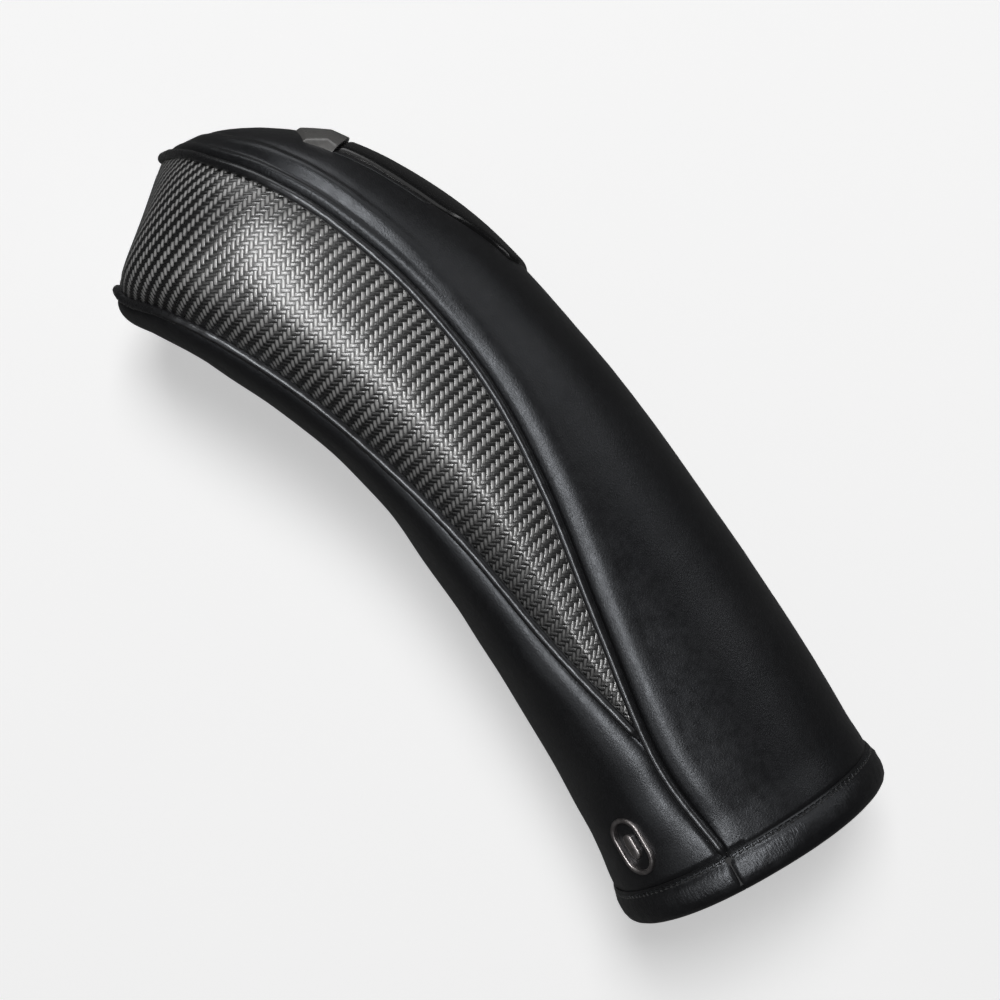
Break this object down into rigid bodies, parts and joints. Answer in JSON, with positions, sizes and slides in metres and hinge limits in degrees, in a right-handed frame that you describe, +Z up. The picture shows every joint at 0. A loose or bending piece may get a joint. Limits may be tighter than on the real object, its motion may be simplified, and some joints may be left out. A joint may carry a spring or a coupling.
{
  "type": "driver head cover",
  "caption": "Padded golf driver head cover: black leather crown and under panels, carbon-look side band round the toe, piped seams, bound mouth.",
  "frame": {"origin": "centre of the bounding box on the ground plane, with the cover lying on its side", "axes": "+X from the closed toe towards the open mouth, +Y towards the convex crown, +Z up, square to the cover's plane of symmetry"},
  "size_m": [0.3347, 0.1384, 0.1206],
  "materials": {
    "panel_leather": "fine-grained black synthetic leather, soft sheen",
    "cuff_leather": "black synthetic leather binding, lightly wrinkled",
    "piping_leather": "smooth black leather piping, a little glossier",
    "carbon_weave": "carbon-look 2 by 2 twill, dark grey, clear coated",
    "padding_foam": "soft open-cell foam padding",
    "plush_lining": "short-pile plush lining, near black",
    "piping_cord": "twisted cotton filler cord",
    "webbing": "flat woven webbing",
    "elastic": "woven elastic",
    "thread": "black bonded thread",
    "gloss_plate": "moulded black plate, glossy",
    "grey_cap": "satin grey moulded cap",
    "badge_metal": "polished gunmetal",
    "retainer_steel": "thin stamped steel"
  },
  "bodies": {
    "root": {"crown_panel": "panel_leather", "under_panel": "panel_leather", "gusset_band": "carbon_weave", "crown_foam": "padding_foam", "gusset_foam": "padding_foam", "under_foam": "padding_foam", "crown_lining": "plush_lining", "gusset_lining": "plush_lining", "under_lining": "plush_lining", "upper_piping_cover": "piping_leather", "lower_piping_cover": "piping_leather", "upper_piping_cord": "piping_cord", "lower_piping_cord": "piping_cord", "crown_cuff": "cuff_leather", "under_cuff": "cuff_leather", "cuff_webbing": "webbing", "neck_elastic": "elastic", "cuff_stitches": "thread", "crown_plate": "gloss_plate", "plate_end_cap": "grey_cap", "badge_ring": "badge_metal", "badge_heart": "badge_metal", "badge_retainer": "retainer_steel"}
  },
  "joints": []
}
